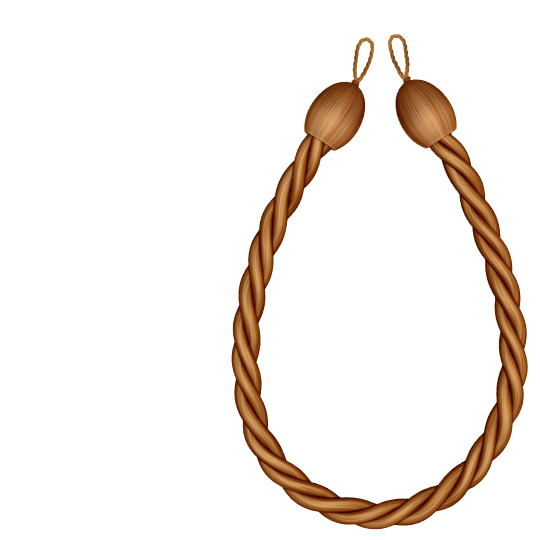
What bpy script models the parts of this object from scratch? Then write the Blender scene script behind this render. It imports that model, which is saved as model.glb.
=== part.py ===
"""Rope curtain tieback, lying on a flat surface: three satin strands laid into one rope, an egg-shaped
cover on each of its ends, and a small loop of twisted cord at each egg's tip that goes over a wall hook.

Metres, +Z up. The surface is z = 0, and the origin is under the middle of the piece. +Y points from
the bottom of the rope's oval towards the two hanging loops.
"""

import math

import bmesh
import bpy
import numpy as np
from mathutils import Matrix, Vector

MM = 0.001
UP = Vector((0, 0, 1))

# The rope. One strand is a little fatter than the other two, which makes the lay uneven.
STRAND_RADII = (4.7 * MM, 4.2 * MM, 4.2 * MM)
STRAND_GAP = 0.3 * MM
SLOPE_ALLOWANCE = 1.065  # a strand's section square to the rope is wider, because the strand slopes
LAY_LENGTH = 74.7 * MM  # the rope's length in one full turn of its strands
FAT_STRAND_INSIDE_AT = 69.6 * MM  # from the left egg's mouth to where the fat strand is on the oval's inside
STRAND_SIDES = 10
STEPS_IN_A_TURN = 15

# The rope's way round the oval between the two mouths, seen from above. No point is inside an egg.
ROPE_ROUTE_MM = [
    (-46.9, 84.6), (-56.9, 67.0), (-66.4, 49.4), (-74.4, 31.0), (-80.6, 12.0), (-85.5, -7.6),
    (-88.8, -27.5), (-90.0, -47.5), (-89.0, -67.6), (-85.8, -87.4), (-79.6, -106.4), (-68.8, -123.4),
    (-54.4, -137.4), (-37.3, -147.8), (-18.2, -154.2), (1.6, -156.0), (21.3, -152.6), (39.6, -144.1),
    (55.7, -131.7), (68.8, -116.4), (79.0, -99.1), (85.8, -80.2), (89.0, -60.4), (89.0, -40.3),
    (86.5, -20.4), (82.4, -0.7), (76.7, 18.8), (69.7, 37.6), (62.1, 56.2), (53.7, 74.5),
]
ROPE_PRESS = 0.5 * MM  # how much the strands flatten where they lie on the surface
DESCENT = 60 * MM  # the rope comes down from an egg's mouth to the surface over this length

# The eggs: two half ellipses turned about the egg's axis, cut off square at the mouth.
EGG_RADIUS = 18.0 * MM
EGG_CROWN = 26.3 * MM  # from the widest place to the tip
EGG_SKIRT = 24.8 * MM  # the lower half ellipse, if it were whole
EGG_MOUTH = 18.7 * MM  # from the widest place to the mouth's cut
EGG_FLAT = 0.35 * MM  # the depth of the flat spot that the egg lies on
EGG_SIDES = 24
EGG_LEFT = (-30.9 * MM, 109.3 * MM)
EGG_RIGHT = (30.4 * MM, 110.8 * MM)
EGG_LEAN = math.radians(32.5)  # each egg's tip leans this far from +Y, towards the other egg
LIP = 1.0 * MM
SOCKET_CLEARANCE = 0.45 * MM
SOCKET_DEPTH = 13.0 * MM
ROPE_GRIP = 10.5 * MM  # how far the rope reaches into the socket

# The hanging loops: three plies twisted into a cord, to the left in the left loop and to the right in the other.
LOOP_RADIUS = 1.45 * MM
LOOP_VALLEY = 0.97 * MM  # from the cord's middle to the groove between two plies
LOOP_PLIES = 3
LOOP_LAY = 12.9 * MM
LOOP_SIDES = 12
LOOP_STEPS_IN_A_TURN = 14
LOOP_TURN_LEFT = math.radians(30)  # how the plies are turned at the left loop's seat
LOOP_TURN_RIGHT = math.radians(59)
LEG_OFFSET = 1.1 * MM  # from the neck's middle to a leg's
LOOP_GRIP = 3.5 * MM  # how far a leg reaches into the egg's tip
PINCH = 0.66  # how thin the neck's binding draws the legs, as a share of the cord
PINCH_FADE = 4.0 * MM
LOOP_FALL = 25.0 * MM  # the loop comes down to the surface over this length
# Each loop's route beyond its neck, seen from above, from leg to leg.
LOOP_LEFT_MM = [
    (-17.1, 138.8), (-17.2, 142.3), (-16.7, 146.6), (-16.0, 151.0), (-15.3, 155.4), (-14.2, 158.9),
    (-12.7, 161.5), (-10.7, 162.9), (-8.5, 163.1), (-6.5, 162.1), (-5.1, 160.0), (-4.9, 157.0),
    (-5.6, 152.9), (-6.9, 148.6), (-8.7, 144.2), (-10.9, 139.7),
]
LOOP_RIGHT_MM = [
    (13.1, 139.2), (11.5, 143.2), (9.8, 147.2), (8.5, 151.6), (7.6, 155.9), (6.9, 160.0),
    (7.4, 163.1), (8.9, 164.9), (11.1, 165.4), (13.6, 164.8), (15.7, 162.7), (17.0, 158.8),
    (17.5, 153.7), (17.9, 148.6), (18.0, 143.6),
]

# The neck: an oval ring of wound thread round both legs, on the egg's tip or a little beside it.
NECK_SHIFT_LEFT = -0.6 * MM
NECK_SHIFT_RIGHT = 1.9 * MM
NECK_BORE = (2.65 * MM, 1.45 * MM)  # half its width and half its depth
NECK_WALL = 0.45 * MM
NECK_HEIGHT = 2.0 * MM
NECK_SIDES = 20
FIT_GAP = 0.3 * MM

STRAND_COLOUR = (0.42, 0.20, 0.07)
EGG_COLOUR = (0.40, 0.19, 0.08)
CORD_COLOUR = (0.37, 0.16, 0.05)


def clear_scene():
    for thing in list(bpy.data.objects):
        bpy.data.objects.remove(thing)


def satin(name, colour, roughness):
    material = bpy.data.materials.new(name)
    material.use_nodes = True
    shader = material.node_tree.nodes["Principled BSDF"]
    shader.inputs["Base Color"].default_value = (*colour, 1)
    shader.inputs["Roughness"].default_value = roughness
    shader.inputs["Metallic"].default_value = 0
    return material


def add_object(name, mesh, material=None):
    thing = bpy.data.objects.new(name, mesh)
    bpy.context.scene.collection.objects.link(thing)
    if material:
        mesh.materials.append(material)
        mesh.shade_smooth()
    return thing


def smooth_curve(points, step):
    """A natural cubic spline through the points, read every step along its length."""
    points = np.array(points, float)
    knots = np.concatenate([[0], np.cumsum(np.linalg.norm(np.diff(points, axis=0), axis=1))])
    spans = np.diff(knots)
    count = len(points)
    bending = np.eye(count)
    pull = np.zeros((count, points.shape[1]))
    for i in range(1, count - 1):
        bending[i, i - 1 : i + 2] = spans[i - 1], 2 * (spans[i - 1] + spans[i]), spans[i]
        slope_after = (points[i + 1] - points[i]) / spans[i]
        slope_before = (points[i] - points[i - 1]) / spans[i - 1]
        pull[i] = 6 * (slope_after - slope_before)
    second = np.linalg.solve(bending, pull)

    def at(distances):
        i = np.clip(np.searchsorted(knots, distances) - 1, 0, count - 2)
        span = spans[i, None]
        before = (distances - knots[i])[:, None]
        after = span - before
        return (
            (second[i] * after**3 + second[i + 1] * before**3) / (6 * span)
            + (points[i] / span - second[i] * span / 6) * after
            + (points[i + 1] / span - second[i + 1] * span / 6) * before
        )

    fine = at(np.linspace(0, knots[-1], 4000))
    along = np.concatenate([[0], np.cumsum(np.linalg.norm(np.diff(fine, axis=0), axis=1))])
    stops = np.linspace(0, along[-1], round(along[-1] / step) + 1)
    return stops, np.stack([np.interp(stops, along, fine[:, k]) for k in range(fine.shape[1])], axis=1)


def ease(share):
    """0 to 1 with a level start and a level end."""
    share = np.clip(share, 0, 1)
    return share * share * (3 - 2 * share)


def tangents(line):
    ahead = np.gradient(line, axis=0)
    return ahead / np.linalg.norm(ahead, axis=1)[:, None]


def tube_mesh(name, rings):
    """A closed tube through rings of points, with flat ends. No point is below the surface."""
    rings = np.array(rings, float)
    rings[..., 2] = np.maximum(rings[..., 2], 0)
    count, sides = rings.shape[:2]
    faces = [
        (i * sides + k, i * sides + (k + 1) % sides, (i + 1) * sides + (k + 1) % sides, (i + 1) * sides + k)
        for i in range(count - 1)
        for k in range(sides)
    ]
    faces.append(tuple(reversed(range(sides))))
    faces.append(tuple(range((count - 1) * sides, count * sides)))
    mesh = bpy.data.meshes.new(name)
    mesh.from_pydata(rings.reshape(-1, 3).tolist(), [], faces)
    return mesh


def egg_axis(side):
    """The direction from an egg's mouth to its tip; side is -1 on the left and 1 on the right."""
    return Vector((-side * math.sin(EGG_LEAN), math.cos(EGG_LEAN), 0))


def egg_height():
    return EGG_RADIUS - EGG_FLAT


def egg_middle(side):
    x, y = EGG_RIGHT if side > 0 else EGG_LEFT
    return Vector((x, y, egg_height()))


def neck_shift(side):
    return NECK_SHIFT_RIGHT if side > 0 else NECK_SHIFT_LEFT


def strand_places():
    """(distance from the rope's axis, angle) of each strand's middle, for three strands that lie against
    each other: the middles are a triangle whose sides are the sums of the radii."""
    a, b, c = STRAND_RADII
    side_ab, side_bc, side_ca = (
        (first + second + STRAND_GAP) * SLOPE_ALLOWANCE for first, second in ((a, b), (b, c), (c, a))
    )
    along = (side_ab**2 + side_ca**2 - side_bc**2) / (2 * side_ab)
    corners = np.array([(0, 0), (side_ab, 0), (along, math.sqrt(side_ca**2 - along**2))])
    weights = np.array(STRAND_RADII) ** 2
    corners -= (corners * weights[:, None]).sum(0) / weights.sum()
    angles = np.arctan2(corners[:, 1], corners[:, 0])
    return list(zip(np.linalg.norm(corners, axis=1), angles - angles[0]))


def rope_radius():
    return max(reach + radius for (reach, _), radius in zip(strand_places(), STRAND_RADII))


def rope_line():
    """The rope's middle from socket to socket, the distance of each point from the left mouth, and the
    distance between the mouths."""
    mouths = [egg_middle(side) - egg_axis(side) * EGG_MOUTH for side in (-1, 1)]
    ends = [mouth + egg_axis(side) * ROPE_GRIP for mouth, side in zip(mouths, (-1, 1))]
    between = [(x * MM, y * MM) for x, y in ROPE_ROUTE_MM]
    plan = [ends[0].xy, mouths[0].xy, *between, mouths[1].xy, ends[1].xy]
    stops, line = smooth_curve(plan, LAY_LENGTH / STEPS_IN_A_TURN)
    from_left = stops - ROPE_GRIP
    reach = stops[-1] - 2 * ROPE_GRIP
    from_mouth = np.minimum(from_left, reach - from_left)
    rest = rope_radius() - ROPE_PRESS
    heights = egg_height() + (rest - egg_height()) * ease(from_mouth / DESCENT)
    return np.column_stack([line, heights]), from_left


def strand_rings(place, radius):
    """Round sections along one strand, which winds round the rope's middle to the left."""
    line, from_left = rope_line()
    reach, start = place
    ahead = tangents(line)
    inward = np.cross(UP, ahead)
    inward /= np.linalg.norm(inward, axis=1)[:, None]
    above = np.cross(ahead, inward)
    turn = start - 2 * math.pi * (from_left - FAT_STRAND_INSIDE_AT) / LAY_LENGTH
    middle = line + reach * (np.cos(turn)[:, None] * inward + np.sin(turn)[:, None] * above)
    heading = tangents(middle)
    across = np.cross(above, heading)
    across /= np.linalg.norm(across, axis=1)[:, None]
    over = np.cross(heading, across)
    around = np.arange(STRAND_SIDES) * 2 * math.pi / STRAND_SIDES
    return (
        middle[:, None]
        + radius * np.cos(around)[None, :, None] * across[:, None]
        + radius * np.sin(around)[None, :, None] * over[:, None]
    )


def make_strands(material):
    for number, (place, radius) in enumerate(zip(strand_places(), STRAND_RADII), 1):
        name = f"rope_strand_{number}"
        add_object(name, tube_mesh(name, strand_rings(place, radius)), material)


def egg_profile():
    """(radius, height) points from the tip down the outside, round the lip and up into the socket."""
    crown = [
        (EGG_RADIUS * math.sin(a), EGG_CROWN * math.cos(a)) for a in np.radians(np.arange(0, 90, 11.25))
    ]
    lip_at = EGG_MOUTH - LIP
    skirt = [
        (EGG_RADIUS * math.sqrt(1 - (y / EGG_SKIRT) ** 2), -y) for y in np.linspace(0, lip_at, 5)
    ]
    mouth_radius = EGG_RADIUS * math.sqrt(1 - (EGG_MOUTH / EGG_SKIRT) ** 2)
    bore = rope_radius() + SOCKET_CLEARANCE
    lip = [(mouth_radius - 0.25 * LIP, 0.3 * LIP - EGG_MOUTH), (mouth_radius - LIP / 2, -EGG_MOUTH)]
    socket = [(bore, -EGG_MOUTH), (bore, SOCKET_DEPTH - EGG_MOUTH), (0, SOCKET_DEPTH - EGG_MOUTH)]
    return crown + skirt + lip + socket


def turned_mesh(name, profile, sides, closed=False):
    """Spins a profile of (radius, height) points about +Z."""
    shape = bmesh.new()
    points = [shape.verts.new((radius, 0, height)) for radius, height in profile]
    pairs = list(zip(points, points[1:]))
    if closed:
        pairs.append((points[-1], points[0]))
    edges = [shape.edges.new(pair) for pair in pairs]
    bmesh.ops.spin(
        shape, geom=points + edges, axis=(0, 0, 1), cent=(0, 0, 0), angle=2 * math.pi, steps=sides,
        use_merge=True, use_duplicate=False,
    )
    bmesh.ops.remove_doubles(shape, verts=shape.verts[:], dist=0.01 * MM)
    bmesh.ops.recalc_face_normals(shape, faces=shape.faces[:])
    mesh = bpy.data.meshes.new(name)
    shape.to_mesh(mesh)
    shape.free()
    return mesh


def as_cutter(thing):
    thing.hide_render = True
    thing.display_type = "WIRE"
    return thing


def cut(thing, cutter):
    modifier = thing.modifiers.new(cutter.name, "BOOLEAN")
    modifier.operation = "DIFFERENCE"
    modifier.object = cutter


def neck_hole_mesh(side):
    """An oval peg along +Z that cuts the seat of both legs out of an egg's tip."""
    shape = bmesh.new()
    depth = LOOP_GRIP + FIT_GAP
    bmesh.ops.create_cone(
        shape, cap_ends=True, segments=NECK_SIDES, radius1=1, radius2=1, depth=2 * depth,
        matrix=Matrix.Translation((0, 0, EGG_CROWN)),
    )
    bmesh.ops.scale(shape, vec=(*NECK_BORE, 1), verts=shape.verts[:])
    bmesh.ops.translate(shape, vec=(neck_shift(side), 0, 0), verts=shape.verts[:])
    mesh = bpy.data.meshes.new("neck_hole")
    shape.to_mesh(mesh)
    shape.free()
    return mesh


def floor_cutter():
    """A block below the surface, which cuts the flat spots that the eggs lie on."""
    shape = bmesh.new()
    size = 400 * MM
    bmesh.ops.create_cube(shape, size=size, matrix=Matrix.Translation((0, 0, -size / 2)))
    mesh = bpy.data.meshes.new("surface_block")
    shape.to_mesh(mesh)
    shape.free()
    return as_cutter(add_object("surface_block", mesh))


def egg_turn(side):
    """Turns an egg drawn about +Z onto its side, with its tip towards the loop and local X across."""
    axis = egg_axis(side)
    across = axis.cross(UP)
    return Matrix((across, axis.cross(across), axis)).transposed().to_4x4()


def make_eggs(material):
    surface = floor_cutter()
    for side, word in ((-1, "left"), (1, "right")):
        place = Matrix.Translation(egg_middle(side)) @ egg_turn(side)
        peg = as_cutter(add_object(f"neck_hole_{word}", neck_hole_mesh(side)))
        peg.matrix_world = place
        name = f"egg_{word}"
        egg = add_object(name, turned_mesh(name, egg_profile(), EGG_SIDES), material)
        egg.matrix_world = place
        cut(egg, peg)
        cut(egg, surface)


def neck_profile():
    """A round-shouldered wall, drawn at the bore's half width; its depth is scaled afterwards."""
    inner, outer = NECK_BORE[0], NECK_BORE[0] + NECK_WALL
    foot = EGG_CROWN + FIT_GAP
    top = foot + NECK_HEIGHT
    shoulder = NECK_WALL / 2
    return [
        (inner, foot), (outer, foot), (outer + 0.15 * MM, foot + NECK_HEIGHT / 2),
        (outer - shoulder / 3, top - shoulder), (outer - shoulder, top), (inner, top),
    ]


def make_necks(material):
    for side, word in ((-1, "left"), (1, "right")):
        name = f"neck_{word}"
        mesh = turned_mesh(name, neck_profile(), NECK_SIDES, closed=True)
        inner, depth = NECK_BORE
        flatten = (depth + NECK_WALL) / (inner + NECK_WALL)
        mesh.transform(Matrix.Translation((neck_shift(side), 0, 0)) @ Matrix.Diagonal((1, flatten, 1, 1)))
        ring = add_object(name, mesh, material)
        ring.matrix_world = Matrix.Translation(egg_middle(side)) @ egg_turn(side)


def loop_line(side, route_mm):
    """The cord's middle from its seat in the egg's tip, round the loop and back to the seat, and how
    far it is pinched at each stop."""
    axis = egg_axis(side).xy
    across = Vector((axis.y, -axis.x))
    tip = egg_middle(side).xy + axis * EGG_CROWN + across * neck_shift(side)
    seat = [-LOOP_GRIP, 0, NECK_HEIGHT]
    first = [tip - across * LEG_OFFSET + axis * y for y in seat]
    last = [tip + across * LEG_OFFSET + axis * y for y in reversed(seat)]
    plan = first + [(x * MM, y * MM) for x, y in route_mm] + last
    stops, line = smooth_curve(plan, LOOP_LAY / LOOP_STEPS_IN_A_TURN)
    beyond_neck = (line - np.array(tip)) @ np.array(axis) - NECK_HEIGHT
    heights = egg_height() + (LOOP_RADIUS - egg_height()) * ease(beyond_neck / LOOP_FALL)
    pinch = PINCH + (1 - PINCH) * ease(beyond_neck / PINCH_FADE)
    return stops, np.column_stack([line, heights]), pinch


def loop_rings(side, route_mm):
    """Lobed sections along the cord, turned a little at each step: the radius swings from a ply's crest
    to the groove beside it and back, once for each ply."""
    stops, line, pinch = loop_line(side, route_mm)
    heading = tangents(line)
    across = np.cross(heading, UP)
    across /= np.linalg.norm(across, axis=1)[:, None]
    over = np.cross(across, heading)
    around = np.arange(LOOP_SIDES) * 2 * math.pi / LOOP_SIDES
    swing = (LOOP_RADIUS - LOOP_VALLEY) / 2
    radii = pinch[:, None] * (LOOP_RADIUS - swing + swing * np.cos(LOOP_PLIES * around))
    start = LOOP_TURN_RIGHT if side > 0 else LOOP_TURN_LEFT
    angles = around[None] + (start + side * 2 * math.pi * stops / LOOP_LAY)[:, None]
    return (
        line[:, None]
        + (radii * np.cos(angles))[..., None] * over[:, None]
        + (radii * np.sin(angles))[..., None] * across[:, None]
    )


def make_loops(material):
    for side, word, route in ((-1, "left", LOOP_LEFT_MM), (1, "right", LOOP_RIGHT_MM)):
        name = f"loop_{word}"
        add_object(name, tube_mesh(name, loop_rings(side, route)), material)


def main():
    clear_scene()
    make_strands(satin("satin strand", STRAND_COLOUR, 0.45))
    cover = satin("woven satin cover", EGG_COLOUR, 0.5)
    make_eggs(cover)
    make_necks(cover)
    make_loops(satin("twisted cord", CORD_COLOUR, 0.55))


main()
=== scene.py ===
"""A satin rope tieback for a curtain, lying on a pale table and seen from straight above.

Three strands of satin yarn are laid into one rope. A mould covered with ribbed satin thread holds each of its
ends, and a loop of twisted cord comes out of each mould's tip through a neck of wound thread.
"""

import math

import bpy
import numpy as np
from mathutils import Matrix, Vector


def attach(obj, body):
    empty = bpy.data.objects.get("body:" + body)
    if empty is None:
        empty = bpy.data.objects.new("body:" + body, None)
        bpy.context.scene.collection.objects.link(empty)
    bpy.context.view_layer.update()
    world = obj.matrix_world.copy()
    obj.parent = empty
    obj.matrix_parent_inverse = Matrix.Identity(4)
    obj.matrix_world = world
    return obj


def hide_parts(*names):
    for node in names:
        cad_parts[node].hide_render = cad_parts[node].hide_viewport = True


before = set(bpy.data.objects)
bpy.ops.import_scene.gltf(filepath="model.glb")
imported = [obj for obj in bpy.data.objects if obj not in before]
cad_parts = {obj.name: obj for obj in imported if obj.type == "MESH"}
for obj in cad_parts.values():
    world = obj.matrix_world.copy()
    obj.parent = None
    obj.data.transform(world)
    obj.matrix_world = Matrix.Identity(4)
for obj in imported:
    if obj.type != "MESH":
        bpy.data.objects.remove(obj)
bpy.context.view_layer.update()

MM = 0.001
TURN = 2 * math.pi
UP = np.array((0.0, 0.0, 1.0))
SIDE_NAMES = {-1: "left", 1: "right"}

# The rope, as the CAD part has it.
STRAND_RADII = (4.7 * MM, 4.2 * MM, 4.2 * MM)
STRAND_GAP = 0.3 * MM
SLOPE_ALLOWANCE = 1.065  # a strand crosses the rope at a slant, so its section there is longer
LAY_LENGTH = 74.7 * MM  # a strand goes once round the rope in this length
FAT_STRAND_INSIDE_AT = 69.6 * MM  # there, from the left mouth, the fat strand is on the oval's inside
ROPE_PRESS = 0.5 * MM  # the rope's lowest threads are pressed flat by this much
DESCENT = 60 * MM  # the rope comes down from an egg's mouth to the table over this length
ROPE_ROUTE_MM = [
    (-46.9, 84.6), (-56.9, 67.0), (-66.4, 49.4), (-74.4, 31.0), (-80.6, 12.0), (-85.5, -7.6),
    (-88.8, -27.5), (-90.0, -47.5), (-89.0, -67.6), (-85.8, -87.4), (-79.6, -106.4), (-68.8, -123.4),
    (-54.4, -137.4), (-37.3, -147.8), (-18.2, -154.2), (1.6, -156.0), (21.3, -152.6), (39.6, -144.1),
    (55.7, -131.7), (68.8, -116.4), (79.0, -99.1), (85.8, -80.2), (89.0, -60.4), (89.0, -40.3),
    (86.5, -20.4), (82.4, -0.7), (76.7, 18.8), (69.7, 37.6), (62.1, 56.2), (53.7, 74.5),
]

# The covered moulds, measured along the egg's axis from where it is widest.
EGG_RADIUS = 18.0 * MM
EGG_CROWN = 26.3 * MM  # to the tip
EGG_SKIRT = 24.8 * MM  # half the length of the ellipse that the mouth is cut from
EGG_MOUTH = 18.7 * MM
EGG_FLAT = 0.35 * MM
EGG_HEIGHT = EGG_RADIUS - EGG_FLAT
EGG_LEAN = math.radians(32.5)
EGG_PLAN = {-1: (-30.9 * MM, 109.3 * MM), 1: (30.4 * MM, 110.8 * MM)}
LIP = 1.0 * MM
SOCKET_CLEARANCE = 0.45 * MM
SOCKET_DEPTH = 13.0 * MM
ROPE_GRIP = 10.5 * MM

# The necks and the hanging loops.
NECK_SHIFT = {-1: -0.6 * MM, 1: 1.9 * MM}  # each neck sits this far beside its egg's axis
NECK_BORE = (2.65 * MM, 1.45 * MM)
NECK_WALL = 0.45 * MM
NECK_HEIGHT = 2.0 * MM
FIT_GAP = 0.3 * MM
LOOP_RADIUS = 1.45 * MM
LOOP_LAY = 12.9 * MM
LOOP_TURN = {-1: math.radians(30), 1: math.radians(59)}
LEG_OFFSET = 1.1 * MM
LOOP_GRIP = 3.5 * MM
PINCH = 0.76  # the neck squeezes the cord to this share of its thickness
PINCH_FADE = 3.0 * MM  # and it is full again this far beyond
LOOP_FALL = 25.0 * MM  # a loop comes down from its neck to the table over this length
LOOP_ROUTE_MM = {
    -1: [
        (-17.1, 138.8), (-17.2, 142.3), (-16.7, 146.6), (-16.0, 151.0), (-15.3, 155.4), (-14.2, 158.9),
        (-12.7, 161.5), (-10.7, 162.9), (-8.5, 163.1), (-6.5, 162.1), (-5.1, 160.0), (-4.9, 157.0),
        (-5.6, 152.9), (-6.9, 148.6), (-8.7, 144.2), (-10.9, 139.7),
    ],
    1: [
        (13.1, 139.2), (11.5, 143.2), (9.8, 147.2), (8.5, 151.6), (7.6, 155.9), (6.9, 160.0),
        (7.4, 163.1), (8.9, 164.9), (11.1, 165.4), (13.6, 164.8), (15.7, 162.7), (17.0, 158.8),
        (17.5, 153.7), (17.9, 148.6), (18.0, 143.6),
    ],
}


# Camera, light and table

PHOTO_MIDDLE = (-73.8 * MM, 7.95 * MM)  # the point of the table in the middle of the photograph
PHOTO_WIDTH = 360.8 * MM  # what the photograph's width covers at the rope's middle height
ROPE_MIDDLE_HEIGHT = 12 * MM
LENS = 150.0
SENSOR = 36.0
CLIP_END = 20.0
TABLE_REACH = 3.0
ROOM_COLOUR = (1, 0.88, 0.76, 1)
ROOM_STRENGTH = 0.7
# The picture is printed hard. Its dark tones are drawn down, the green and the blue ones the most, so that
# the golden yarn turns red-brown in the shade. The rows are the curves of red, green and blue in turn.
PRINT_CURVES = (
    (
        (0.09, 0.022), (0.18, 0.079), (0.31, 0.203), (0.50, 0.435), (0.64, 0.600), (0.72, 0.705),
        (0.80, 0.805), (0.90, 0.912),
    ),
    (
        (0.056, 0.005), (0.09, 0.016), (0.129, 0.042), (0.181, 0.097), (0.232, 0.178), (0.318, 0.317),
        (0.50, 0.445), (0.69, 0.645), (0.85, 0.838),
    ),
    (
        (0.0225, 0.001), (0.041, 0.005), (0.06, 0.017), (0.075, 0.042), (0.09, 0.076), (0.11, 0.115),
        (0.24, 0.185), (0.42, 0.305), (0.62, 0.525), (0.85, 0.812),
    ),
)


def add_camera():
    """Straight above the middle of the photograph, far off, so its width over its distance is the sensor's
    over the lens's."""
    data = bpy.data.cameras.new("camera")
    data.lens = LENS
    data.sensor_width = SENSOR
    data.clip_end = CLIP_END
    camera = bpy.data.objects.new("camera", data)
    camera.location = (*PHOTO_MIDDLE, ROPE_MIDDLE_HEIGHT + PHOTO_WIDTH * LENS / SENSOR)
    bpy.context.scene.collection.objects.link(camera)
    bpy.context.scene.camera = camera


def add_lamp(name, place, target, size, power, colour=(1, 1, 1)):
    """A round softbox, size metres across, that points from its place to its target."""
    data = bpy.data.lights.new(name, "AREA")
    data.shape = "DISK"
    data.size = size
    data.energy = power
    data.color = colour
    lamp = bpy.data.objects.new(name, data)
    lamp.location = place
    lamp.rotation_euler = (Vector(target) - Vector(place)).to_track_quat("-Z", "Y").to_euler()
    lamp.visible_camera = False
    bpy.context.scene.collection.objects.link(lamp)


def linear(colour):
    """An sRGB hex colour as linear red, green and blue, and a full alpha."""
    parts = [int(colour[i : i + 2], 16) / 255 for i in (1, 3, 5)]
    return (*(c / 12.92 if c <= 0.04045 else ((c + 0.055) / 1.055) ** 2.4 for c in parts), 1)


def add(tree, kind, links=None, **settings):
    """Adds a shader node of that kind, gives it its settings, and sets or links each named input."""
    node = tree.nodes.new(f"ShaderNode{kind}")
    for name, value in settings.items():
        setattr(node, name, value)
    for socket, source in (links or {}).items():
        if isinstance(source, bpy.types.NodeSocket):
            tree.links.new(source, node.inputs[socket])
        else:
            node.inputs[socket].default_value = source
    return node


def new_finish(name):
    """A new material, its node tree and its shader."""
    material = bpy.data.materials.new(name)
    material.use_nodes = True
    tree = material.node_tree
    return material, tree, tree.nodes["Principled BSDF"]


def add_table():
    """A matt warm-white table top, the square within TABLE_REACH of the piece. It sends no light back up, so
    the shaded sides of the yarn stay deep."""
    material, _, shader = new_finish("matt white laminate")
    shader.inputs["Base Color"].default_value = linear("#F6EDE2")
    shader.inputs["Roughness"].default_value = 0.9
    shader.inputs["Specular IOR Level"].default_value = 0.1
    mesh = bpy.data.meshes.new("table_top")
    corners = [(TABLE_REACH * x, TABLE_REACH * y, 0) for x, y in ((-1, -1), (1, -1), (1, 1), (-1, 1))]
    mesh.from_pydata(corners, [], [(0, 1, 2, 3)])
    mesh.materials.append(material)
    table = bpy.data.objects.new("table_top", mesh)
    bpy.context.scene.collection.objects.link(table)
    table.visible_diffuse = False
    table.visible_glossy = False


def light_scene():
    """A strong softbox overhead, a weak warm one low on the right, a pale warm room, and the hard print."""
    add_lamp("overhead_box", place=(-0.055, 0.02, 2.2), target=(-0.055, 0, 0), size=0.30, power=95)
    add_lamp(
        "warm_reflector", place=(1.5, -0.1, 0.9), target=(0, 0, 0), size=0.70, power=6.5,
        colour=(1, 0.42, 0.16),
    )
    world = bpy.data.worlds.new("studio")
    world.use_nodes = True
    room = world.node_tree.nodes["Background"]
    room.inputs["Color"].default_value = ROOM_COLOUR
    room.inputs["Strength"].default_value = ROOM_STRENGTH
    bpy.context.scene.world = world
    print_style = bpy.context.scene.view_settings
    print_style.view_transform = "Standard"
    print_style.use_curve_mapping = True
    for curve, points in zip(print_style.curve_mapping.curves, PRINT_CURVES):
        for before, after in points:
            curve.points.new(before, after)
    print_style.curve_mapping.update()


# Shapes

FINE_STEPS = 6000  # a curve is read at this many places before it is spaced evenly


def smooth_curve(points, step):
    """A natural cubic spline through the points, read every step along its length."""
    points = np.array(points, float)
    knots = np.concatenate([[0], np.cumsum(np.linalg.norm(np.diff(points, axis=0), axis=1))])
    spans = np.diff(knots)
    count = len(points)
    bending = np.eye(count)
    pull = np.zeros((count, points.shape[1]))
    for i in range(1, count - 1):
        bending[i, i - 1 : i + 2] = spans[i - 1], 2 * (spans[i - 1] + spans[i]), spans[i]
        slope_after = (points[i + 1] - points[i]) / spans[i]
        slope_before = (points[i] - points[i - 1]) / spans[i - 1]
        pull[i] = 6 * (slope_after - slope_before)
    second = np.linalg.solve(bending, pull)
    distances = np.linspace(0, knots[-1], FINE_STEPS)
    i = np.clip(np.searchsorted(knots, distances) - 1, 0, count - 2)
    span = spans[i, None]
    before = (distances - knots[i])[:, None]
    after = span - before
    fine = (
        (second[i] * after**3 + second[i + 1] * before**3) / (6 * span)
        + (points[i] / span - second[i] * span / 6) * after
        + (points[i + 1] / span - second[i + 1] * span / 6) * before
    )
    along = np.concatenate([[0], np.cumsum(np.linalg.norm(np.diff(fine, axis=0), axis=1))])
    stops = np.linspace(0, along[-1], round(along[-1] / step) + 1)
    return stops, np.stack([np.interp(stops, along, fine[:, k]) for k in range(fine.shape[1])], axis=1)


def ease(share):
    """0 to 1 with a level start and a level end."""
    share = np.clip(share, 0, 1)
    return share * share * (3 - 2 * share)


def unit(vectors):
    """Each vector over its own length."""
    return vectors / np.linalg.norm(vectors, axis=-1, keepdims=True)


def tangents(line):
    """The direction of a line at each of its points."""
    return unit(np.gradient(line, axis=0))


def stacked(shape, *parts):
    """A vector for each point of a grid of that shape, from three parts that are spread over the grid."""
    return np.stack([np.broadcast_to(part, shape) for part in parts], -1)


def sweep(middle, section, angle, first, second):
    """Rings round a line: each point lies off the line's point by the section, at its angle from the
    direction first toward the direction second."""
    return (
        middle[:, None]
        + (section * np.cos(angle))[..., None] * first[:, None]
        + (section * np.sin(angle))[..., None] * second[:, None]
    )


def press_on_table(points):
    """What would be below the table is pressed flat on it."""
    points[..., 2] = np.maximum(points[..., 2], 0)


def wander(count, seed, spread):
    """A smooth random row of values about 0: white noise blurred over spread places, scaled to about 1."""
    noise = np.random.default_rng(seed).standard_normal(count + 6 * spread)
    bell = np.exp(-0.5 * (np.arange(-3 * spread, 3 * spread + 1) / spread) ** 2)
    smooth = np.convolve(noise, bell, "same")[3 * spread : 3 * spread + count]
    return smooth / np.sqrt((bell**2).sum())


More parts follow.
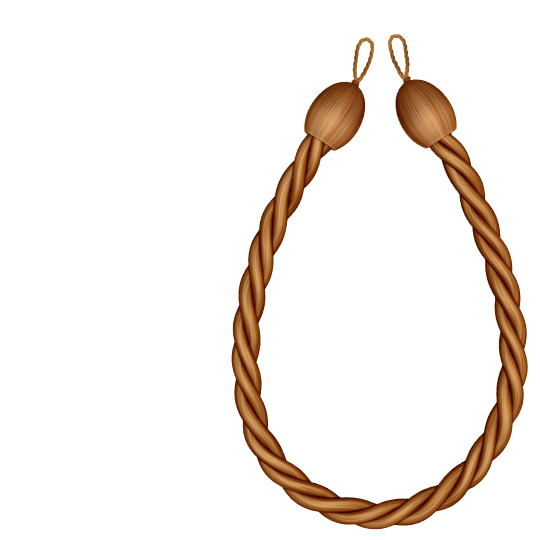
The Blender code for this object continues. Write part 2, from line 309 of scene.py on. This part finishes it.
def make_object(name, tubes, finish, values, close=True):
    """A mesh of one or more tubes, each a grid of rings: quads between neighbouring rings, and a fan to a
    middle point at each end, or quads from the last ring back to the first where close is False. values
    holds a number or a vector for each point of each grid, kept as attributes for the materials."""
    points, corners, starts = [], [], []
    kept = {key: [] for key in values}
    base = used = 0
    for number, rings in enumerate(tubes):
        count, sides = rings.shape[:2]
        i, j = np.meshgrid(np.arange(count - 1 if close else count), np.arange(sides), indexing="ij")
        here, there = i * sides, (i + 1) % count * sides
        k = (j + 1) % sides
        quads = np.stack([here + j, here + k, there + k, there + j], -1).reshape(-1, 4) + base
        points.append(rings.reshape(-1, 3))
        corners.append(quads.ravel())
        starts.append(used + np.arange(len(quads)) * 4)
        used += quads.size
        for key, grids in values.items():
            kept[key].append(np.asarray(grids[number], float).reshape(count * sides, -1))
        if close:
            a = np.arange(sides)
            b = (a + 1) % sides
            first, last = base, base + (count - 1) * sides
            middles = base + count * sides
            back = np.stack([np.full(sides, middles), first + b, first + a], 1)
            front = np.stack([np.full(sides, middles + 1), last + a, last + b], 1)
            points.append(rings[[0, -1]].mean(axis=1))
            corners += [back.ravel(), front.ravel()]
            starts.append(used + np.arange(2 * sides) * 3)
            used += back.size + front.size
            for key, grids in values.items():
                ends = np.asarray(grids[number], float).reshape(count, sides, -1)[[0, -1]]
                kept[key].append(ends.mean(axis=1))
        base = sum(len(group) for group in points)
    points, corners, starts = np.concatenate(points), np.concatenate(corners), np.concatenate(starts)
    mesh = bpy.data.meshes.new(name)
    mesh.vertices.add(len(points))
    mesh.vertices.foreach_set("co", points.ravel())
    mesh.loops.add(len(corners))
    mesh.loops.foreach_set("vertex_index", corners)
    mesh.polygons.add(len(starts))
    mesh.polygons.foreach_set("loop_start", starts)
    mesh.update(calc_edges=True)
    for key, grids in kept.items():
        grid = np.concatenate(grids)
        vector = grid.shape[1] == 3
        attribute = mesh.attributes.new(key, "FLOAT_VECTOR" if vector else "FLOAT", "POINT")
        attribute.data.foreach_set("vector" if vector else "value", grid.ravel())
    mesh.materials.append(finish)
    mesh.shade_smooth()
    thing = bpy.data.objects.new(name, mesh)
    bpy.context.scene.collection.objects.link(thing)
    return thing


def take_place(thing, node):
    """The piece rides the only body and takes the place of that node, which is hidden."""
    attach(thing, "root")
    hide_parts(node)


def egg_axes(side):
    """The egg's own axes: across it, down, and from its mouth to its tip."""
    axis = np.array((-side * math.sin(EGG_LEAN), math.cos(EGG_LEAN), 0.0))
    return np.array(((axis[1], -axis[0], 0.0), (0.0, 0.0, -1.0), axis))


def egg_middle(side):
    """The point of the egg's axis where it is widest."""
    return np.array((*EGG_PLAN[side], EGG_HEIGHT))


# The rope

LAID_CLOSER = 0.928  # soft strands press into each other, where the solids keep a small gap
FULLER = 0.30 * MM  # and they are this much thicker all round than the solids
THREADS_ROUND = (48, 42, 42)  # about 0.65 mm each, twice as coarse as real threads, so that they show
SIDES_A_THREAD = 4
THREAD_RELIEF = 0.07 * MM
FLATTEST_THREAD = 0.55  # the share of the relief that the flattest threads have
THREAD_TWIST = 520 * MM  # a thread goes once round its strand in this length
THREAD_SEED = 40
# How far a strand swells, the rings that the swelling is blurred over, and the first strand's seed.
SLOW_SWELL, SLOW_RINGS, SLOW_SEED = 0.045 * MM, 9, 50
QUICK_SWELL, QUICK_RINGS, QUICK_SEED = 0.04 * MM, 4, 60
STRAND_STEP = 1.6 * MM
CREASE_SHADE = 1.25  # painted shade of a strand where another's skin would touch it; 1 is the deepest that is drawn
CREASE_REACH = 1.35 * MM  # it falls by 1 in this distance
# Painted shade also darkens the skin as it turns away from the light above, from facing up, 1, to facing
# sideways, 0: (shade, start, reach).
SHOULDER_SHADE = (0.56, 0.94, 0.70)
FLANK_SHADE = (0.30, 0.55, 0.45)


def strand_places():
    """(distance from the rope's axis, angle) of each strand's middle: a triangle whose sides are the sums
    of the strands' radii and the gap."""
    a, b, c = STRAND_RADII
    side_ab, side_bc, side_ca = (
        (first + second + STRAND_GAP) * SLOPE_ALLOWANCE for first, second in ((a, b), (b, c), (c, a))
    )
    along = (side_ab**2 + side_ca**2 - side_bc**2) / (2 * side_ab)
    corners = np.array([(0, 0), (side_ab, 0), (along, math.sqrt(side_ca**2 - along**2))])
    weights = np.array(STRAND_RADII) ** 2
    corners -= (corners * weights[:, None]).sum(0) / weights.sum()
    angles = np.arctan2(corners[:, 1], corners[:, 0])
    return list(zip(np.linalg.norm(corners, axis=1), angles - angles[0]))


PLACES = strand_places()
ROPE_RADIUS = max(reach + radius for (reach, _), radius in zip(PLACES, STRAND_RADII))


def rope_line():
    """The rope's middle from socket to socket, and the distance of each point from the left mouth."""
    axes = {side: egg_axes(side)[2][:2] for side in (-1, 1)}
    mouths = {side: np.array(EGG_PLAN[side]) - axes[side] * EGG_MOUTH for side in (-1, 1)}
    ends = {side: mouths[side] + axes[side] * ROPE_GRIP for side in (-1, 1)}
    between = [(x * MM, y * MM) for x, y in ROPE_ROUTE_MM]
    stops, line = smooth_curve([ends[-1], mouths[-1], *between, mouths[1], ends[1]], STRAND_STEP)
    from_left = stops - ROPE_GRIP
    from_mouth = np.minimum(from_left, stops[-1] - 2 * ROPE_GRIP - from_left)
    rest = ROPE_RADIUS - ROPE_PRESS
    heights = EGG_HEIGHT + (rest - EGG_HEIGHT) * ease(from_mouth / DESCENT)
    return np.column_stack([line, heights]), from_left


def strand_middles():
    """Each strand's middle winds round the rope's to the left: its angle falls by a turn in a lay."""
    line, from_left = rope_line()
    ahead = tangents(line)
    inward = unit(np.cross(UP, ahead))
    above = np.cross(ahead, inward)
    middles = []
    for reach, start in PLACES:
        turn = (start - TURN * (from_left - FAT_STRAND_INSIDE_AT) / LAY_LENGTH)[:, None]
        middles.append(line + LAID_CLOSER * reach * (np.cos(turn) * inward + np.sin(turn) * above))
    return line, ahead, above, from_left, middles


def swellings(count, around, number):
    """How far a strand stands out beyond its even section: a slow wander along it, as two bulges round it,
    and a quick one, as five."""
    slow = SLOW_SWELL * wander(count, SLOW_SEED + number, SLOW_RINGS)[:, None]
    quick = QUICK_SWELL * wander(count, QUICK_SEED + number, QUICK_RINGS)[:, None]
    return slow * np.cos(around * 2 + number)[None] + quick * np.cos(around * 5)[None]


def strand_shade(rings, number, line, ahead, from_left, middles):
    """The painted shade of each point of a strand: the more the nearer it is to the skin of another strand,
    or the more it faces away from above, whichever is darker."""
    shade = np.zeros(rings.shape[:2])
    station = from_left[:, None] + ((rings - line[:, None]) * ahead[:, None]).sum(-1)
    for other in range(3):
        if other != number:
            beside = np.stack([np.interp(station, from_left, middles[other][:, k]) for k in range(3)], -1)
            clear = np.linalg.norm(rings - beside, axis=-1) - STRAND_RADII[other]
            shade = np.maximum(shade, CREASE_SHADE - clear / CREASE_REACH)
    facing_up = ((rings - middles[number][:, None]) @ UP) / STRAND_RADII[number]
    shoulder = SHOULDER_SHADE[0] * np.clip((SHOULDER_SHADE[1] - facing_up) / SHOULDER_SHADE[2], 0, 1)
    flank = FLANK_SHADE[0] * ease((FLANK_SHADE[1] - facing_up) / FLANK_SHADE[2])
    return np.clip(np.maximum(shade, shoulder + flank), 0, 1)


def add_strands(finish):
    """Each strand is a bundle of threads that run along it. Its section is a circle with one low hump for
    each thread, no two quite alike, and the bundle swells and thins a little on its way."""
    line, ahead, above, from_left, middles = strand_middles()
    for number, (middle, radius, threads) in enumerate(zip(middles, STRAND_RADII, THREADS_ROUND)):
        heading = tangents(middle)
        across = unit(np.cross(above, heading))
        over = np.cross(heading, across)
        sides = threads * SIDES_A_THREAD
        step = np.arange(sides)
        around = TURN * step / sides
        own = np.random.default_rng(THREAD_SEED + number).uniform(FLATTEST_THREAD, 1.0, threads)
        hump = (0.5 + 0.5 * np.cos(TURN * step / SIDES_A_THREAD)) * own[step // SIDES_A_THREAD]
        swell = swellings(len(middle), around, number)
        section = radius + FULLER - THREAD_RELIEF * (1 - hump)[None] + swell
        angle = around[None] + (TURN * from_left / THREAD_TWIST)[:, None]
        rings = sweep(middle, section, angle, across, over)
        shade = strand_shade(rings, number, line, ahead, from_left, middles)
        press_on_table(rings)
        laid = stacked(shade.shape, from_left[:, None], radius * np.cos(around), radius * np.sin(around))
        strand = make_object(
            f"strand_{number + 1}", [rings], finish,
            {"laid": [laid], "hump": [np.broadcast_to(hump, shade.shape)], "painted_shade": [shade]},
        )
        take_place(strand, f"rope_strand_{number + 1}")


# The hanging loops

PLY_RADIUS = LOOP_RADIUS / (1 + 2 / math.sqrt(3))  # three equal circles that touch, inside the cord's own
PLY_REACH = LOOP_RADIUS - PLY_RADIUS
FULLER_PLY = 1.22  # soft plies fill the hollows between them, so each is this much thicker
PLY_SIDES = 16
PLY_THREADS = 4
PLY_THREAD_LAY = 2.6 * MM
PLY_THREAD_RELIEF = 0.02 * MM
PLY_SHADE = 0.8  # how much painted shade a ply gets toward the cord's middle, where the other plies keep the light off
PLY_SHADE_FROM = 0.1  # it starts this far past the ply's sides, as a share of its radius
LOOP_STEP = 0.4 * MM


def loop_line(side):
    """The cord's middle from its seat in the egg's tip, round the loop and back, its pinch, and the point
    where it comes out of the neck."""
    across, _, axis = egg_axes(side)[:, :2]
    tip = np.array(EGG_PLAN[side]) + axis * EGG_CROWN + across * NECK_SHIFT[side]
    seat = [-LOOP_GRIP, 0, NECK_HEIGHT]
    first = [tip - across * LEG_OFFSET + axis * y for y in seat]
    last = [tip + across * LEG_OFFSET + axis * y for y in reversed(seat)]
    route = [(x * MM, y * MM) for x, y in LOOP_ROUTE_MM[side]]
    stops, line = smooth_curve(first + route + last, LOOP_STEP)
    beyond_neck = (line - tip) @ axis - NECK_HEIGHT
    heights = EGG_HEIGHT + (LOOP_RADIUS - EGG_HEIGHT) * ease(beyond_neck / LOOP_FALL)
    pinch = PINCH + (1 - PINCH) * ease(beyond_neck / PINCH_FADE)
    exit_point = np.array((*first[2], EGG_HEIGHT))
    return stops, np.column_stack([line, heights]), pinch[:, None], exit_point


def add_loops(finish):
    """Three plies wind round the loop's middle, to the left in the left loop and to the right in the other.
    Each ply's section is a circle with a few low humps that turn against the cord's own lay."""
    around = (TURN * np.arange(PLY_SIDES) / PLY_SIDES)[None]
    for side, name in SIDE_NAMES.items():
        stops, line, pinch, exit_point = loop_line(side)
        heading = tangents(line)
        across = unit(np.cross(heading, UP))
        over = np.cross(across, heading)
        swing = np.cos(PLY_THREADS * around + side * TURN * stops[:, None] / PLY_THREAD_LAY)
        section = pinch * (FULLER_PLY * PLY_RADIUS + PLY_THREAD_RELIEF * swing)
        # Painted shade on the side of each ply that faces the cord's middle.
        shade = np.broadcast_to(PLY_SHADE * np.clip(-PLY_SHADE_FROM - np.cos(around), 0, 1), swing.shape)
        x, y = PLY_RADIUS * np.cos(around), PLY_RADIUS * np.sin(around)
        tubes, laid = [], []
        for ply in range(3):
            turn = (LOOP_TURN[side] + side * TURN * stops / LOOP_LAY + TURN * ply / 3)[:, None]
            outward = np.cos(turn) * over + np.sin(turn) * across
            middle = line + pinch * PLY_REACH * outward
            ahead = tangents(middle)
            sideways = unit(np.cross(ahead, outward))
            facing = np.cross(sideways, ahead)
            rings = sweep(middle, section, around, facing, sideways)
            press_on_table(rings)
            tubes.append(rings)
            laid.append(stacked(swing.shape, stops[:, None] + ply, x, y))
        loop = make_object(
            f"cord_loop_{name}", tubes, finish,
            {"laid": laid, "hump": [0.5 + 0.5 * swing] * 3, "painted_shade": [shade] * 3},
        )
        take_place(loop, f"loop_{name}")


# The eggs

SOCKET_HOLE = 0.3 * MM  # the outline starts this far off the axis, and a small fan closes it
LIP_INSIDE = 0.4 * MM  # from the bore to the lip's edge
TIP_HOLE = 0.006  # in radians, so that the outline ends beside the tip
IN_SOCKET = -1.0 * MM
RIBS_ROUND = 52  # ribs of covering thread round the egg, about 2.2 mm apart at its widest
RIB_SEED = 7
POINTS_A_RIB = 6
RIB_RELIEF = 0.17 * MM
# How strongly a rib shows, as a share of the relief: usually, more or less by this, and at least.
RIB_DEPTH, RIB_VARIES, FAINTEST_RIB = 0.76, 0.20, 0.4
PAIRED_WITHIN, PARTED_OVER = 6 * MM, 7 * MM  # near the tip two ribs are one, and further out they part
ROW_PITCH = 1.65 * MM  # rows of thread across the ribs, spaced along the egg's axis
COVER_EDGE = 1.2 * MM  # the weave starts over this much of the outside, from the lip
TIGHT_WITHIN = 6 * MM  # and is drawn tight and flat toward the tip
MOUTH_WEAVE = 0.3  # the share of its depth that the weave has near the mouth
WEAVE_DEEPENS_AT, WEAVE_DEEPENS_OVER = -7 * MM, 17 * MM
SEAT_FROM = 0.5  # the seat for the loop's legs is only in the outer part of the crown, from this share
SEAT_EDGE = 0.12  # its wall takes up this share of its width
# the painted shade inside the socket fades toward its lip over this distance
SOCKET_FADE = 0.5 * MM
# The cover is darker toward its tip: (darkening, start, reach), the last two as shares of the crown.
TIP_DARKENING = (0.14, 0.05, 0.9)
# And painted shade darkens it where it turns sideways, away from the light above: (shade, start), the
# height as a share of the radius there.
SIDE_SHADE = (0.30, 0.8)
LEAST_RADIUS = 3 * MM  # no smaller radius is used for that share
END_WALL_POINTS, SIDE_WALL_POINTS, LIP_POINTS = 6, 11, 7
SKIRT_STEPS, CROWN_STEPS = 400, 800


def egg_profile():
    """Radius, height, and distance up the outside of an egg's outline: out from the socket's middle, down
    its bore, round the lip, and up two quarter ellipses to the tip. The distance is 0 on the lip and below 0
    in the socket."""
    bore = ROPE_RADIUS + SOCKET_CLEARANCE
    floor = SOCKET_DEPTH - EGG_MOUTH
    crest = bore + LIP_INSIDE
    shoulder = LIP - EGG_MOUTH
    outer = EGG_RADIUS * math.sqrt(1 - (shoulder / EGG_SKIRT) ** 2)
    bend = np.radians(np.linspace(0, 90, LIP_POINTS))
    end_wall = [np.linspace(SOCKET_HOLE, bore, END_WALL_POINTS), np.full(END_WALL_POINTS, floor)]
    side_wall = [np.full(SIDE_WALL_POINTS - 2, bore), np.linspace(floor, shoulder, SIDE_WALL_POINTS)[1:-1]]
    inner_lip = [crest - (crest - bore) * np.cos(bend), shoulder - LIP * np.sin(bend)]
    outer_lip = [crest + (outer - crest) * np.sin(bend[1:-1]), shoulder - LIP * np.cos(bend[1:-1])]
    socket = np.concatenate([end_wall, side_wall], axis=1)
    lip = np.concatenate([inner_lip, outer_lip], axis=1)
    rise = np.linspace(shoulder, 0, SKIRT_STEPS)[:-1]
    skirt = [EGG_RADIUS * np.sqrt(1 - (rise / EGG_SKIRT) ** 2), rise]
    lean = np.linspace(math.pi / 2, TIP_HOLE, CROWN_STEPS)
    crown = [EGG_RADIUS * np.sin(lean), EGG_CROWN * np.cos(lean)]
    outside = np.concatenate([skirt, crown], axis=1)
    run = np.concatenate([[0], np.cumsum(np.linalg.norm(np.diff(outside, axis=1), axis=0))])
    stops = np.linspace(0, run[-1], round(run[-1] / ROW_PITCH * POINTS_A_RIB) + 1)
    outside = np.stack([np.interp(stops, run, outside[k]) for k in range(2)])
    radius, height = np.concatenate([socket, lip, outside], axis=1)
    distance = np.concatenate([np.full(socket.shape[1], IN_SOCKET), np.zeros(lip.shape[1]), stops])
    return radius, height, distance


def add_eggs(finish):
    """The outline is turned about the egg's axis. Ribs of thread run from mouth to tip and rows of thread
    cross under them, so the cover is highest where both are: its relief is the product of a raised cosine
    round the egg and one along it. Some ribs show more than others, and near the tip they run together in
    pairs. The weave is fainter near the mouth. The cover is darker toward its tip, and painted shade darkens
    its sides, its socket and the hollows of its weave."""
    radius, height, run = egg_profile()
    slope = unit(np.stack([np.gradient(radius), np.gradient(height)], -1))
    normal = np.stack([slope[:, 1], -slope[:, 0]], -1)
    sides = RIBS_ROUND * POINTS_A_RIB
    around = (TURN * np.arange(sides) / sides)[None]
    parted = ease((radius - PAIRED_WITHIN) / PARTED_OVER)[:, None]
    rib = parted * np.cos(RIBS_ROUND * around) + (1 - parted) * np.cos(RIBS_ROUND / 2 * around)
    row = np.cos(TURN * height / ROW_PITCH)[:, None]
    own = np.clip(RIB_DEPTH + RIB_VARIES * wander(RIBS_ROUND, RIB_SEED, 1), FAINTEST_RIB, 1)
    own = np.roll(np.repeat(own, POINTS_A_RIB), -(POINTS_A_RIB // 2))[None]
    weave = own * (0.5 + 0.5 * rib) * (0.5 + 0.5 * row)
    covered = ease(run / COVER_EDGE)[:, None]
    tightness = ease(radius / TIGHT_WITHIN)[:, None]
    deepening = ease((height - WEAVE_DEEPENS_AT) / WEAVE_DEEPENS_OVER)
    open_weave = (MOUTH_WEAVE + (1 - MOUTH_WEAVE) * deepening)[:, None]
    relief = RIB_RELIEF * (weave - 0.5) * covered * tightness * open_weave
    turned_radius = radius[:, None] + relief * normal[:, :1]
    turned_height = height[:, None] + relief * normal[:, 1:]
    x, y = turned_radius * np.cos(around), turned_radius * np.sin(around)
    laid = stacked(x.shape, height[:, None], EGG_RADIUS * np.cos(around), EGG_RADIUS * np.sin(around))
    # 1 on the weave's crests and less in its hollows, which the finish paints darker as shade.
    weave_crest = 1 - open_weave * covered * (1 - weave)
    # Darker toward the tip.
    tip_darkening = TIP_DARKENING[0] * ease((height / EGG_CROWN - TIP_DARKENING[1]) / TIP_DARKENING[2])
    # Painted shade inside the socket, none on the lip and outside.
    socket_shade = ease(-run / SOCKET_FADE)
    for side, name in SIDE_NAMES.items():
        from_neck = np.hypot((x - NECK_SHIFT[side]) / NECK_BORE[0], y / NECK_BORE[1])
        seat = (height[:, None] > SEAT_FROM * EGG_CROWN) * (1 - ease((from_neck - 1) / SEAT_EDGE))
        z = turned_height - seat * (LOOP_GRIP + FIT_GAP)
        points = stacked(x.shape, x, y, z) @ egg_axes(side) + egg_middle(side)
        press_on_table(points)
        # Painted shade on the sides, which turn away from the light above.
        raised = (points[..., 2] - EGG_HEIGHT) / np.maximum(radius[:, None], LEAST_RADIUS)
        sideways = SIDE_SHADE[0] * np.clip((SIDE_SHADE[1] - raised) / SIDE_SHADE[1], 0, 1)
        # The darkest of the painted shade and the darkening toward the tip goes into one attribute.
        shade = np.maximum(np.maximum(socket_shade, tip_darkening)[:, None], sideways)
        egg = make_object(
            f"covered_egg_{name}", [points], finish, {"laid": [laid], "hump": [weave_crest], "painted_shade": [shade]}
        )
        take_place(egg, f"egg_{name}")


# The necks

COLLAR_HEIGHT = 2.1 * MM
COLLAR_ROUNDS = 4  # rounds of thread up the collar, coarser than real ones so that they show
COLLAR_RELIEF = 0.10 * MM
COLLAR_LEVEL = 0.4  # the share of that relief which lies below the ring's own outside
COLLAR_TAPER = 0.55 * MM  # the collar's radius is smaller by this at its top
COLLAR_SINK = 0.1 * MM  # its foot sinks this far into the cover
COLLAR_POINTS = (96, 64)  # round the collar, and round its section
SQUARENESS = 0.45  # the power that turns a round section, 1, into one with flat sides, toward 0
COLLAR_SHADE = 0.3  # painted shade between its rounds
COLLAR_RADIUS = 3 * MM


def squared(wave):
    """A wave between -1 and 1 with flattened crests: its size to a low power, with its own sign."""
    return np.sign(wave) * np.abs(wave) ** SQUARENESS


def add_necks(finish):
    """An oval ring with a flat-sided section, narrower at its top, whose outside has a hump for each round
    of the thread that is wound about it. The thread rises by one pitch in each round."""
    inner, flatten = NECK_BORE[0], (NECK_BORE[1] + NECK_WALL) / (NECK_BORE[0] + NECK_WALL)
    around, t = (TURN * np.arange(count) / count for count in COLLAR_POINTS)
    around, t = around[:, None], t[None]
    # The section runs clockwise, so that the faces point outwards.
    out, rise = squared(np.cos(t)) * NECK_WALL / 2, -squared(np.sin(t)) * COLLAR_HEIGHT / 2
    rounds = 0.5 + 0.5 * np.cos(TURN * rise * COLLAR_ROUNDS / COLLAR_HEIGHT + around)
    outside_only = np.clip(np.cos(t) * 3, 0, 1)
    ring = inner + NECK_WALL / 2 + out + COLLAR_RELIEF * (rounds - COLLAR_LEVEL) * outside_only
    ring = ring - COLLAR_TAPER * (0.5 + rise / COLLAR_HEIGHT)
    height = EGG_CROWN - COLLAR_SINK + COLLAR_HEIGHT / 2 + rise
    laid = stacked(ring.shape, COLLAR_RADIUS * around, rise, out)
    for side, name in SIDE_NAMES.items():
        x, y = NECK_SHIFT[side] + ring * np.cos(around), flatten * ring * np.sin(around)
        points = stacked(ring.shape, x, y, height) @ egg_axes(side) + egg_middle(side)
        neck = make_object(
            f"wound_neck_{name}", [points], finish,
            {"laid": [laid], "hump": [rounds], "painted_shade": [COLLAR_SHADE * (1 - rounds)]}, close=False,
        )
        take_place(neck, f"neck_{name}")


# Finishes

TONES_AT = (0.32, 0.5, 0.70)  # where on the streaks' noise, which is mostly between 0.3 and 0.7
# where on the painted shade its tint is half-way
HALF_SHADE_AT = 0.45
BUMP_STRENGTH, BUMP_HEIGHT = 0.3, 0.08 * MM


def yarn_finish(name, tones, shade_tint, valley, streak, wind, gloss, edge):
    """Satin yarn. Its colour goes through three tones in long streaks, given as (width, length). The valleys
    between its threads are painted darker, as shade: there the colour keeps the share valley. Where light
    can't get in, painted shade multiplies the colour by a tint, given as (half-way, deepest). A fine thread
    crosses it every pitch, given as (pitch, depth). The gloss is (metallic, roughness), and the edge is its
    shine's tint at a flat angle."""
    material, tree, shader = new_finish(name)
    laid = add(tree, "Attribute", attribute_name="laid").outputs["Vector"]
    hump = add(tree, "Attribute", attribute_name="hump").outputs["Fac"]
    painted_shade = add(tree, "Attribute", attribute_name="painted_shade").outputs["Fac"]
    stretch = (1 / streak[1], 1 / streak[0], 1 / streak[0])
    combed = add(tree, "VectorMath", {0: laid, 1: stretch}, operation="MULTIPLY").outputs[0]
    noise = add(tree, "TexNoise", {"Vector": combed, "Scale": 1.0, "Detail": 3.0, "Roughness": 0.6})
    streaks = noise.outputs[0]
    toned = add(tree, "ValToRGB", {"Fac": streaks})
    steps = toned.color_ramp.elements
    steps[0].position, steps[1].position = TONES_AT[0], TONES_AT[2]
    steps[0].color, steps[1].color = linear(tones[0]), linear(tones[2])
    steps.new(TONES_AT[1]).color = linear(tones[1])
    along = add(tree, "SeparateXYZ", {0: laid}).outputs[0]
    phase = add(tree, "Math", {0: along, 1: TURN / wind[0]}, operation="MULTIPLY").outputs[0]
    wave = add(tree, "Math", {0: phase}, operation="SINE").outputs[0]
    crossed = add(tree, "Math", {0: wave, 1: wind[1], 2: 1 - wind[1]}, operation="MULTIPLY_ADD").outputs[0]
    # Painted shade in the valleys between the threads: the colour keeps the share valley there.
    valley_shade = add(tree, "MapRange", {"Value": hump, "To Min": valley, "To Max": 1.0}).outputs[0]
    level = add(tree, "Math", {0: crossed, 1: valley_shade}, operation="MULTIPLY").outputs[0]
    shaded = add(
        tree, "MixRGB", {"Fac": 1.0, "Color1": toned.outputs[0], "Color2": level}, blend_type="MULTIPLY"
    ).outputs[0]
    # Painted shade where light can't get in: the colour is multiplied by a tint.
    painted_shade_ramp = add(tree, "ValToRGB", {"Fac": painted_shade})
    steps = painted_shade_ramp.color_ramp.elements
    steps[0].color, steps[1].color = (1, 1, 1, 1), linear(shade_tint[1])
    steps.new(HALF_SHADE_AT).color = linear(shade_tint[0])
    colour = add(
        tree, "MixRGB", {"Fac": 1.0, "Color1": shaded, "Color2": painted_shade_ramp.outputs[0]}, blend_type="MULTIPLY"
    ).outputs[0]
    height = add(tree, "Math", {0: wave, 1: 0.5, 2: streaks}, operation="MULTIPLY_ADD").outputs[0]
    bump = add(tree, "Bump", {"Strength": BUMP_STRENGTH, "Distance": BUMP_HEIGHT, "Height": height})
    tree.links.new(colour, shader.inputs["Base Color"])
    tree.links.new(bump.outputs[0], shader.inputs["Normal"])
    shader.inputs["Metallic"].default_value = gloss[0]
    shader.inputs["Roughness"].default_value = gloss[1]
    shader.inputs["Specular IOR Level"].default_value = 0.0
    shader.inputs["Specular Tint"].default_value = linear(edge)
    return material


def main():
    add_camera()
    light_scene()
    add_table()
    # The threads that cross each yarn are drawn about twice as coarse as real ones, so that they show.
    # Viscose satin yarn, laid soft: a broad golden shine along each strand, and painted red-brown shade in
    # the creases and on the flanks.
    add_strands(yarn_finish(
        "laid viscose satin yarn", tones=("#8E6339", "#A0784A", "#AE8654"), shade_tint=("#E2C0A4", "#6C4A3C"),
        valley=0.86, streak=(0.9 * MM, 26 * MM), wind=(0.85 * MM, 0.04), gloss=(0.9, 0.76), edge="#6A1A00",
    ))
    # Hard-twisted satin cord: plies too thin for a broad shine, so it looks darker and even; painted shade
    # darkens each ply toward the cord's middle.
    add_loops(yarn_finish(
        "hard-twisted satin cord", tones=("#845B32", "#8E683E", "#967345"), shade_tint=("#E8CEB0", "#A87C56"),
        valley=0.9, streak=(0.35 * MM, 4 * MM), wind=(0.5 * MM, 0.03), gloss=(0.5, 0.7), edge="#6A1400",
    ))
    # Satin thread drawn over a turned mould in close ribs: a soft shine in long streaks, darker at the tip,
    # with painted shade on its sides, in its socket and in the hollows of its weave.
    add_eggs(yarn_finish(
        "ribbed satin thread cover", tones=("#956A40", "#A2784C", "#A88256"), shade_tint=("#E8CCAE", "#B08864"),
        valley=0.56, streak=(3.2 * MM, 70 * MM), wind=(0.53 * MM, 0.02), gloss=(0.65, 0.80), edge="#7A2A10",
    ))
    # The same thread wound tight, with little shine left on its narrow turns, and painted shade between them.
    add_necks(yarn_finish(
        "wound satin binding", tones=("#6C4622", "#76502C", "#7E5934"), shade_tint=("#E8CEB0", "#A87C56"),
        valley=0.8, streak=(0.3 * MM, 3 * MM), wind=(0.3 * MM, 0.02), gloss=(0.4, 0.65), edge="#6A1400",
    ))


main()
